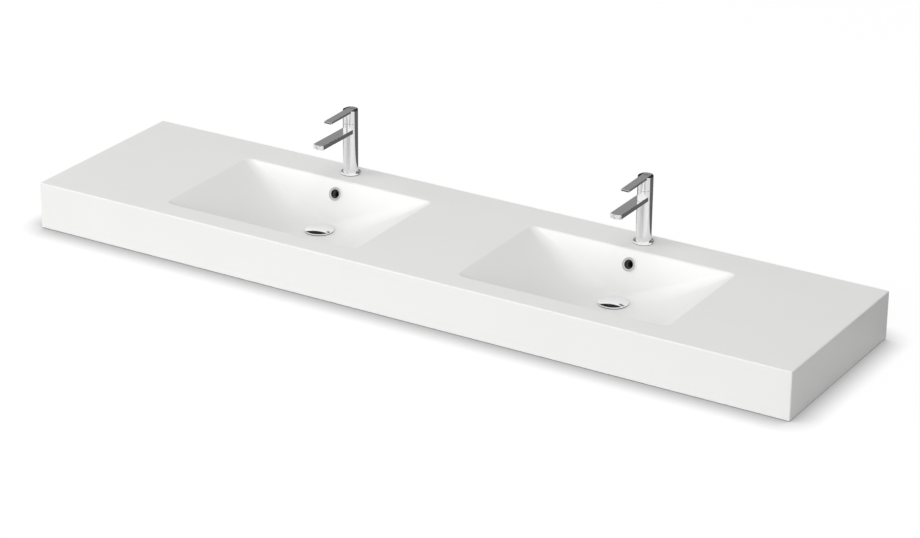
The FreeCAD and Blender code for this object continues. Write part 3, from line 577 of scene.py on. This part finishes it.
def spout():
    """The flat bar: its end is divided and bowed out, then its edges are rounded."""
    half = SPOUT_WIDTH / 2
    shoulder = TAP_Y - SPOUT_REACH + SPOUT_NOSE
    under = SPOUT_TOP_Z - SPOUT_THICK
    piece = block(-half, half, shoulder, TAP_Y, under, SPOUT_TOP_Z)
    piece.name = "spout"
    bpy.ops.object.mode_set(mode="EDIT")

    def across_end(edge):
        first, second = edge.verts
        return both_ends(edge, lambda co: near(co.y, shoulder)) and not near(first.co.x, second.co.x)

    pick(piece, "EDGE", across_end)
    bpy.ops.mesh.subdivide(number_cuts=SPOUT_END_STEPS - 1)
    bow = (half ** 2 + SPOUT_NOSE ** 2) / (2 * SPOUT_NOSE)
    mesh = bmesh.from_edit_mesh(piece.data)
    for vertex in mesh.verts:
        if near(vertex.co.y, shoulder):
            vertex.co.y -= math.sqrt(bow ** 2 - vertex.co.x ** 2) - (bow - SPOUT_NOSE)
    bmesh.update_edit_mesh(piece.data)
    bpy.ops.mesh.select_all(action="DESELECT")
    bpy.ops.mesh.edges_select_sharp(sharpness=SHARP_ANGLE)
    bpy.ops.mesh.bevel(offset=SPOUT_EDGE_ROUND, segments=4, affect="EDGES")
    return close_piece(piece)


def tap_body():
    seam = (COLUMN_R, SEAM_Z)
    outline = [
        (0, COLUMN_FOOT_Z), (COLUMN_R, COLUMN_FOOT_Z), seam, (NECK_R, SEAM_Z), (NECK_R, NECK_TOP_Z),
        (NUT_SEAT_R, NECK_TOP_Z), (NUT_SEAT_R, NUT_SEAT_Z), (CHAMBER_R, NUT_SEAT_Z),
        (CHAMBER_R, CHAMBER_FLOOR_Z), (0, CHAMBER_FLOOR_Z)
    ]
    piece = moved(turned("tap_body", outline, [(seam, LEVER_GAP)]), y=TAP_Y)
    combine(piece, spout(), "UNION")
    under = SPOUT_TOP_Z - SPOUT_THICK
    aerator_y = TAP_Y - SPOUT_REACH + AERATOR_SETBACK
    cutters = [rod(AERATOR_SEAT_R, under - OVERCUT, under + AERATOR_SEAT_DEPTH, 0, aerator_y)]
    for x in (-INLET_OFFSET, INLET_OFFSET):
        cutters.append(rod(INLET_R, COLUMN_FOOT_Z - OVERCUT, COLUMN_FOOT_Z + INLET_LENGTH, x, TAP_Y))
    combine(piece, join(cutters), "DIFFERENCE")
    return smoothed(piece)


def shoulder_cut(hand):
    """What the slope beside the lever takes off the head: a block whose foot is tilted."""
    inner = LEVER_WIDTH / 2 + LEVER_GAP
    outer = COLUMN_R + OVERCUT
    slope = SHOULDER_DROP / (COLUMN_R - inner)
    x0, x1 = sorted((hand * inner, hand * outer))
    piece = block(x0, x1, TAP_Y - outer, TAP_Y + outer, HEAD_TOP_Z, HEAD_TOP_Z + OVERCUT)
    bpy.ops.object.mode_set(mode="EDIT")
    pick(piece, "VERT", lambda vertex: near(vertex.co.z, HEAD_TOP_Z) and near(abs(vertex.co.x), outer))
    bpy.ops.transform.translate(value=(0, 0, -slope * (outer - inner)))
    return close_piece(piece)


def tap_head():
    outline = [
        (HEAD_BORE_R, HEAD_FOOT_Z), (COLUMN_R, HEAD_FOOT_Z), (COLUMN_R, HEAD_TOP_Z), (0, HEAD_TOP_Z),
        (0, CROWN_Z), (HEAD_BORE_R, CROWN_Z), (HEAD_BORE_R, HEAD_FOOT_Z)
    ]
    piece = moved(turned("tap_head", outline), y=TAP_Y)
    for hand in (-1, 1):
        combine(piece, shoulder_cut(hand), "DIFFERENCE")
    slot_half = LEVER_WIDTH / 2 + LEVER_GAP
    slot_floor = HEAD_TOP_Z - LEVER_THICK - LEVER_DROOP / 2
    above = HEAD_TOP_Z + OVERCUT
    front = TAP_Y - COLUMN_R - OVERCUT
    combine(piece, block(-slot_half, slot_half, front, HINGE_Y, slot_floor, above), "DIFFERENCE")
    pocket = rod_across(HEEL_R + LEVER_GAP, -slot_half, slot_half, HINGE_Y, HINGE_Z)
    room = block(-1, 1, -1, 1, HEEL_POCKET_Z, above)
    combine(piece, combine(pocket, room, "INTERSECT"), "DIFFERENCE")
    finger_half = FINGER_HALF_WIDTH + LEVER_GAP
    finger_reach = FINGER_TIP_R + 2 * LEVER_GAP
    finger_front = HINGE_Y - (HINGE_Z - FINGER_TIP_Z) * math.sin(LIFT_ANGLE) - finger_reach
    slot = block(-finger_half, finger_half, finger_front, HINGE_Y + finger_reach, CROWN_Z - OVERCUT, HINGE_Z)
    combine(piece, slot, "DIFFERENCE")
    combine(piece, rod_across(PIN_BORE_R, -COLUMN_R - OVERCUT, PIN_HALF, HINGE_Y, HINGE_Z), "DIFFERENCE")
    screw = moved(rod(SCREW_BORE_R, 0, COLUMN_R), 0, TAP_Y, SCREW_Z, -math.pi / 2)
    combine(piece, screw, "DIFFERENCE")
    with_modifier(
        piece, "BEVEL", width=HEAD_EDGE_ROUND, segments=2, limit_method="ANGLE", angle_limit=SHARP_ANGLE
    )
    return smoothed(piece)


def tap_lever():
    half = LEVER_WIDTH / 2
    tip = TAP_Y - LEVER_REACH
    piece = block(-half, half, tip, HINGE_Y, HEAD_TOP_Z - LEVER_THICK, HEAD_TOP_Z)
    piece.name = "tap_lever"
    bpy.ops.object.mode_set(mode="EDIT")
    mesh = bmesh.from_edit_mesh(piece.data)
    for vertex in mesh.verts:
        if near(vertex.co.y, tip):
            under = vertex.co.z < HEAD_TOP_Z - TOUCH
            vertex.co.z = HEAD_TOP_Z - LEVER_DROOP - (LEVER_TIP_THICK if under else 0)
            vertex.co.y += 0 if under else LEVER_TIP_LEAN
    bmesh.update_edit_mesh(piece.data)

    def tip_corner(edge):
        first, second = edge.verts
        return both_ends(edge, lambda co: co.y < tip + 2 * LEVER_TIP_LEAN) and near(first.co.x, second.co.x)

    pick(piece, "EDGE", tip_corner)
    bpy.ops.mesh.bevel(offset=LEVER_CORNER_R, segments=6, affect="EDGES")

    def upper_edge(edge):
        slope = LEVER_DROOP / (HINGE_Y - tip - LEVER_TIP_LEAN)
        on_top = both_ends(edge, lambda co: abs(HEAD_TOP_Z - slope * (HINGE_Y - co.y) - co.z) < LEVER_GAP)
        return on_top and edge.calc_face_angle(0) > SHARP_ANGLE

    pick(piece, "EDGE", upper_edge)
    bpy.ops.mesh.bevel(offset=LEVER_EDGE_ROUND, segments=4, affect="EDGES")
    close_piece(piece)
    heel = rod_across(HEEL_R, -half, half, HINGE_Y, HINGE_Z)
    combine(heel, block(-1, 1, -1, 1, HINGE_Z - HEEL_CUT, HEAD_TOP_Z), "INTERSECT")
    combine(piece, heel, "UNION")
    finger = block(
        -FINGER_HALF_WIDTH, FINGER_HALF_WIDTH, HINGE_Y - FINGER_HALF_THICK, HINGE_Y + FINGER_HALF_THICK,
        FINGER_TIP_Z, HINGE_Z
    )
    finger_end = rod_across(FINGER_TIP_R, -FINGER_HALF_WIDTH, FINGER_HALF_WIDTH, HINGE_Y, FINGER_TIP_Z)
    combine(piece, combine(finger, finger_end, "UNION"), "UNION")
    combine(piece, rod_across(PIN_BORE_R, -half - OVERCUT, half + OVERCUT, HINGE_Y, HINGE_Z), "DIFFERENCE")
    return smoothed(piece)


# Finishes


class Wire:
    """A node's output. Sums on it add Math nodes."""

    def __init__(self, socket):
        self.socket = socket

    def math(self, operation, *terms):
        nodes = Nodes(self.socket.id_data)
        return nodes.node("ShaderNodeMath", {"operation": operation}, dict(enumerate(terms)))

    def __add__(self, other):
        return self.math("ADD", self, other)

    def __radd__(self, other):
        return self.math("ADD", other, self)

    def __sub__(self, other):
        return self.math("SUBTRACT", self, other)

    def __rsub__(self, other):
        return self.math("SUBTRACT", other, self)

    def __mul__(self, other):
        return self.math("MULTIPLY", self, other)

    def __rmul__(self, other):
        return self.math("MULTIPLY", other, self)

    def __pow__(self, other):
        return self.math("POWER", self, other)

    def larger(self, other):
        return self.math("MAXIMUM", self, other)


class Nodes:
    """The node tree of a material or of the world."""

    def __init__(self, tree):
        self.tree = tree

    def node(self, kind, settings=None, inputs=None, output=0):
        """Adds a node with its settings, and fills its sockets by name or number with values or links."""
        made = self.tree.nodes.new(kind)
        for key, value in (settings or {}).items():
            if key == "stops":
                for stop, (place, colour) in zip(made.color_ramp.elements, value):
                    stop.position = place
                    stop.color = colour
            else:
                setattr(made, key, value)
        for key, value in (inputs or {}).items():
            if isinstance(value, Wire):
                self.tree.links.new(value.socket, made.inputs[key])
            else:
                made.inputs[key].default_value = value
        return Wire(made.outputs[output]) if made.outputs else None

    def noise(self, place, scale, detail=2.0):
        return self.node("ShaderNodeTexNoise", {}, {"Vector": place, "Scale": scale, "Detail": detail})

    def stretched(self, place, scale):
        return self.node("ShaderNodeMapping", {}, {"Vector": place, "Scale": scale})

    def blend(self, share, first, second):
        return self.node("ShaderNodeMix", {"data_type": "RGBA"}, {0: share, 6: first, 7: second}, 2)

    def bump(self, height, strength, distance):
        return self.node("ShaderNodeBump", {}, {"Height": height, "Strength": strength, "Distance": distance})


def finish(name, paint, **constants):
    """A material whose paint function gives what changes over the surface.
    Constants go on the shader's own sockets."""
    material = bpy.data.materials.new(name)
    material.use_nodes = True
    material.node_tree.nodes.clear()
    nodes = Nodes(material.node_tree)
    place = nodes.node("ShaderNodeTexCoord", output=3)
    inputs = {key.replace("_", " ").title().replace("Ior", "IOR"): value for key, value in constants.items()}
    inputs.update(paint(nodes, place))
    shader = nodes.node("ShaderNodeBsdfPrincipled", {}, inputs)
    nodes.node("ShaderNodeOutputMaterial", {}, {"Surface": shader})
    return material


def white_sheet(nodes, place):
    """Cast mineral white with a sanded satin face: faint clouds, a very fine grain and an uneven gloss."""
    clouds = nodes.noise(place, 7.0, 3.0)
    grain = nodes.noise(place, 1400.0, 1.0)
    tone = clouds * 0.7 + grain * 0.3
    colour = nodes.blend(tone, (0.845, 0.843, 0.835, 1), (0.885, 0.884, 0.878, 1))
    roughness = 0.46 + nodes.noise(place, 60.0, 3.0) * 0.10 + grain * 0.04
    return {"Base Color": colour, "Roughness": roughness, "Normal": nodes.bump(grain, 0.04, 0.0001)}


def polished_chrome(nodes, place):
    """Mirror chrome, with faint wiping haze and a few dried water spots."""
    haze = nodes.noise(place, 55.0, 4.0) ** 2
    spots = nodes.node("ShaderNodeTexVoronoi", {}, {"Vector": place, "Scale": 160.0})
    dried = (0.16 - spots).larger(0.0)
    colour = nodes.blend(haze, (0.94, 0.943, 0.946, 1), (0.87, 0.876, 0.884, 1))
    roughness = 0.03 + haze * 0.07 + dried * 0.3
    return {"Base Color": colour, "Roughness": roughness, "Normal": nodes.bump(haze, 0.02, 0.0002)}


def brushed_steel(nodes, place):
    lines = nodes.noise(nodes.stretched(place, (900.0, 900.0, 40.0)), 1.0, 3.0)
    colour = nodes.blend(lines, (0.52, 0.52, 0.51, 1), (0.68, 0.68, 0.67, 1))
    return {"Base Color": colour, "Roughness": 0.26 + lines * 0.16, "Normal": nodes.bump(lines, 0.15, 0.0001)}


def machined_brass(nodes, place):
    turns = nodes.noise(nodes.stretched(place, (30.0, 30.0, 1600.0)), 1.0, 2.0)
    stain = nodes.noise(place, 90.0, 4.0)
    colour = nodes.blend(stain, (0.78, 0.60, 0.30, 1), (0.62, 0.46, 0.22, 1))
    roughness = 0.20 + turns * 0.14 + stain * 0.08
    return {"Base Color": colour, "Roughness": roughness, "Normal": nodes.bump(turns, 0.2, 0.0001)}


def black_rubber(nodes, place):
    grain = nodes.noise(place, 900.0, 3.0)
    colour = nodes.blend(nodes.noise(place, 40.0), (0.020, 0.020, 0.021, 1), (0.055, 0.054, 0.053, 1))
    return {"Base Color": colour, "Roughness": 0.62 + grain * 0.2, "Normal": nodes.bump(grain, 0.25, 0.0001)}


def moulded_plastic(nodes, place):
    grain = nodes.noise(place, 1100.0, 2.0)
    colour = nodes.blend(nodes.noise(place, 25.0, 3.0), (0.74, 0.74, 0.73, 1), (0.84, 0.84, 0.83, 1))
    return {"Base Color": colour, "Roughness": 0.40 + grain * 0.14, "Normal": nodes.bump(grain, 0.12, 0.0001)}


# Moulded black plastic for the overflow pipe. Its black is partly painted shade: it makes the overflow hole
# read dark
def black_plastic_painted_shade(nodes, place):
    grain = nodes.noise(place, 1100.0, 2.0)
    colour = nodes.blend(nodes.noise(place, 25.0, 3.0), (0.030, 0.030, 0.031, 1), (0.060, 0.060, 0.060, 1))
    return {"Base Color": colour, "Roughness": 0.42 + grain * 0.14, "Normal": nodes.bump(grain, 0.12, 0.0001)}


def lapped_ceramic(nodes, place):
    fleck = nodes.noise(place, 700.0, 4.0)
    colour = nodes.blend(fleck, (0.78, 0.76, 0.71, 1), (0.90, 0.89, 0.86, 1))
    return {"Base Color": colour, "Roughness": 0.12 + fleck * 0.10, "Normal": nodes.bump(fleck, 0.05, 0.0001)}


def sawn_board(nodes, place):
    """Softwood board: long grain along the rib, growth bands and saw fuzz."""
    grain = nodes.noise(nodes.stretched(place, (220.0, 6.0, 60.0)), 1.0, 4.0)
    bands = nodes.noise(nodes.stretched(place, (60.0, 2.0, 22.0)), 1.0, 2.0)
    colour = nodes.blend(grain * 0.6 + bands * 0.4, (0.70, 0.54, 0.35, 1), (0.46, 0.31, 0.17, 1))
    return {"Base Color": colour, "Roughness": 0.6 + grain * 0.2, "Normal": nodes.bump(grain, 0.3, 0.0003)}


FINISHES = {
    "solid_surface": finish("satin_mineral_white", white_sheet, specular_ior_level=0.5),
    "chrome": finish("polished_chrome", polished_chrome, metallic=1.0),
    "steel": finish("brushed_steel", brushed_steel, metallic=1.0),
    "brass": finish("machined_brass", machined_brass, metallic=1.0),
    "rubber": finish("black_rubber", black_rubber),
    "plastic": finish("moulded_plastic", moulded_plastic),
    "pipe": finish("black_plastic_painted_shade", black_plastic_painted_shade),
    "disc": finish("lapped_ceramic", lapped_ceramic),
    "board": finish("sawn_board", sawn_board),
}


# Assembly


def dress(piece, slot_name, body, *nodes):
    """Gives a new piece its finish, its body and the CAD nodes that it stands for."""
    piece.data.materials.clear()
    piece.data.materials.append(FINISHES[slot_name])
    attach(piece, body)
    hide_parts(*nodes)


for subpart in frame["record"]["subparts"]:
    node = frame["nodes"][subpart["node"]]
    node.data.materials.clear()
    node.data.materials.append(FINISHES[subpart["material_slot"]])

dress(
    slab(), "solid_surface", "basin",
    "deck_panel", "front_apron", "left_apron", "right_apron", "left_bowl", "right_bowl"
)
STATION_PIECES = (
    (waste_cap, "plug"), (overflow_ring, ""), (tap_base_ring, ""), (tap_body, ""), (tap_head, "head"),
    (tap_lever, "lever")
)
for make, body in STATION_PIECES:
    model = make()
    for side, x in STATIONS:
        twin = moved(copied(model, side + "_" + make.__name__ + "_chrome"), x)
        dress(twin, "chrome", side + "_" + body if body else "basin", side + "_" + make.__name__)
    bpy.data.objects.remove(model)


# Studio

FLOOR_SIZE = 16.0
FLOOR_GAP = 0.0005
LAMPS = (
    ("front_light", Vector((0.3, -6.0, 1.7)), 3.2, 137.0),
    ("left_light", Vector((-7.7, -4.2, 2.4)), 4.5, 284.0),
    ("top_light", Vector((0.0, -0.5, 6.0)), 5.0, 113.0),
)
FILL_LEVEL = 0.45
FLOOR_BOUNCE = 0.60
FLOOR_GLOW = 0.88
FLOOR_SHADE = 0.15
# The painted contact shadow on the floor: how far its ambient occlusion reaches, how steeply it darkens, and
# its samples
PAINTED_SHADOW_REACH = 0.062
PAINTED_SHADOW_FALL = 1.3
PAINTED_SHADOW_SAMPLES = 16
CARD_DISTANCE = 3.5
CARDS = (
    ("gray_card", -32.0, 21.8, 4.0, 0.70, 0.28),
    ("high_card", -15.0, 46.5, 6.0, 2.42, 0.03),
    ("low_card", -30.0, 6.0, 5.0, 1.15, 0.02),
    ("side_card", 36.0, 12.0, 3.4, 1.5, 0.02),
    ("front_card", -151.0, 13.5, 1.7, 1.1, 0.54),
)
FLOOR_CARD_WIDTH = 6.0
FLOOR_CARDS = (
    ("back_floor_card", 0.01, 2.0, 0.12),
    ("front_floor_card", -2.5, SLAB_FRONT_Y - 0.01, 0.10),
)
CAMERA_PLACE = Vector((3.0867, -5.3427, 2.5668))
CAMERA_YAW = 0.53851
CAMERA_PITCH = 0.40887
CAMERA_ROLL = 0.01025
CAMERA_LENS = 121.449
SENSOR_WIDTH = 36.0


def grey(level):
    return (level, level, level, 1)


def studio_world():
    """White where the camera or a mirror looks, and a plain fill light otherwise."""
    world = bpy.data.worlds.new("studio")
    world.use_nodes = True
    world.node_tree.nodes.clear()
    nodes = Nodes(world.node_tree)
    seen = seen_rays(nodes)
    level = seen + (1 - seen) * FILL_LEVEL
    white = nodes.node("ShaderNodeBackground", {}, {"Color": grey(1), "Strength": level})
    nodes.node("ShaderNodeOutputWorld", {}, {"Surface": white})
    bpy.context.scene.world = world


def seen_rays(nodes):
    """1 for a ray from the camera, from a mirror or through glass, and 0 for one that only carries light."""
    rays = nodes.node("ShaderNodeLightPath", output=0)
    outputs = rays.socket.node.outputs
    glossy = Wire(outputs["Is Glossy Ray"])
    through = Wire(outputs["Is Transmission Ray"])
    return Wire(outputs["Is Camera Ray"]).larger(glossy).larger(through)


def studio_floor():
    """A pale floor that looks white and keeps the shadow, with a painted contact shadow: ambient occlusion
    darkens its glow near the object. From below it can be seen through.
    """
    bpy.ops.object.select_all(action="DESELECT")
    bpy.ops.mesh.primitive_plane_add(size=FLOOR_SIZE, location=(0, 0, SLAB_FOOT_Z - FLOOR_GAP))
    floor = bpy.context.object
    floor.name = "studio_floor"
    material = bpy.data.materials.new("studio_floor")
    material.use_nodes = True
    material.node_tree.nodes.clear()
    nodes = Nodes(material.node_tree)
    pale = nodes.node("ShaderNodeBsdfDiffuse", {}, {"Color": grey(FLOOR_BOUNCE)})
    shade = nodes.node("ShaderNodeBsdfDiffuse", {}, {"Color": grey(FLOOR_SHADE)})
    settings = {"samples": PAINTED_SHADOW_SAMPLES}
    # Ambient occlusion darkens the floor's glow near the slab: a painted contact shadow, added to the lamps'
    # real shadow
    open_sky = nodes.node("ShaderNodeAmbientOcclusion", settings, {"Distance": PAINTED_SHADOW_REACH}, 1)
    painted_contact_shadow = open_sky ** PAINTED_SHADOW_FALL
    glow = nodes.node("ShaderNodeEmission", {}, {"Color": painted_contact_shadow, "Strength": FLOOR_GLOW})
    white = nodes.node("ShaderNodeAddShader", {}, {0: shade, 1: glow})
    lit = nodes.node("ShaderNodeMixShader", {}, {0: seen_rays(nodes), 1: pale, 2: white})
    clear = nodes.node("ShaderNodeBsdfTransparent")
    below = nodes.node("ShaderNodeNewGeometry", output=6)
    surface = nodes.node("ShaderNodeMixShader", {}, {0: below, 1: lit, 2: clear})
    nodes.node("ShaderNodeOutputMaterial", {}, {"Surface": surface})
    floor.data.materials.append(material)


def around(turn, rise):
    """A direction from the taps. Turn goes from +Y towards +X, rise goes up, both in degrees."""
    turn = math.radians(turn)
    rise = math.radians(rise)
    return Vector((math.sin(turn) * math.cos(rise), math.cos(turn) * math.cos(rise), math.sin(rise)))


def card(name, place, facing, width, height, level):
    """A plain card that only mirrors see."""
    turn = facing.to_track_quat("Z", "Y").to_euler()
    bpy.ops.object.select_all(action="DESELECT")
    bpy.ops.mesh.primitive_plane_add(size=1, location=place, rotation=turn)
    piece = bpy.context.object
    piece.name = name
    piece.scale = (width, height, 1)
    material = bpy.data.materials.new(name)
    material.use_nodes = True
    material.node_tree.nodes.clear()
    nodes = Nodes(material.node_tree)
    flat = nodes.node("ShaderNodeEmission", {}, {"Color": grey(level), "Strength": 1.0})
    nodes.node("ShaderNodeOutputMaterial", {}, {"Surface": flat})
    piece.data.materials.append(material)
    piece.visible_camera = False
    piece.visible_diffuse = False
    piece.visible_transmission = False
    piece.visible_shadow = False


def soft_light(name, place, size, power):
    """A large lamp that points at the object and that mirrors don't see."""
    lamp = bpy.data.lights.new(name, "AREA")
    lamp.size = size
    lamp.energy = power
    holder = bpy.data.objects.new(name, lamp)
    holder.location = place
    holder.rotation_euler = place.to_track_quat("Z", "Y").to_euler()
    holder.visible_glossy = False
    bpy.context.scene.collection.objects.link(holder)


def photo_camera():
    lens = bpy.data.cameras.new("camera")
    lens.lens = CAMERA_LENS
    lens.sensor_width = SENSOR_WIDTH
    holder = bpy.data.objects.new("camera", lens)
    turn = Matrix.Rotation(CAMERA_YAW, 4, "Z") @ Matrix.Rotation(math.pi / 2 - CAMERA_PITCH, 4, "X")
    holder.matrix_world = Matrix.Translation(CAMERA_PLACE) @ turn @ Matrix.Rotation(CAMERA_ROLL, 4, "Z")
    bpy.context.scene.collection.objects.link(holder)
    bpy.context.scene.camera = holder


studio_world()
studio_floor()
for name, turn, rise, width, height, level in CARDS:
    way = around(turn, rise)
    card(name, Vector((0, TAP_Y, SEAM_Z)) + CARD_DISTANCE * way, way, width, height, level)
for name, y0, y1, level in FLOOR_CARDS:
    place = Vector((0, (y0 + y1) / 2, SLAB_FOOT_Z))
    card(name, place, Vector((0, 0, 1)), FLOOR_CARD_WIDTH, y1 - y0, level)
for name, place, size, power in LAMPS:
    soft_light(name, place, size, power)
photo_camera()
bpy.context.scene.view_settings.view_transform = "Standard"
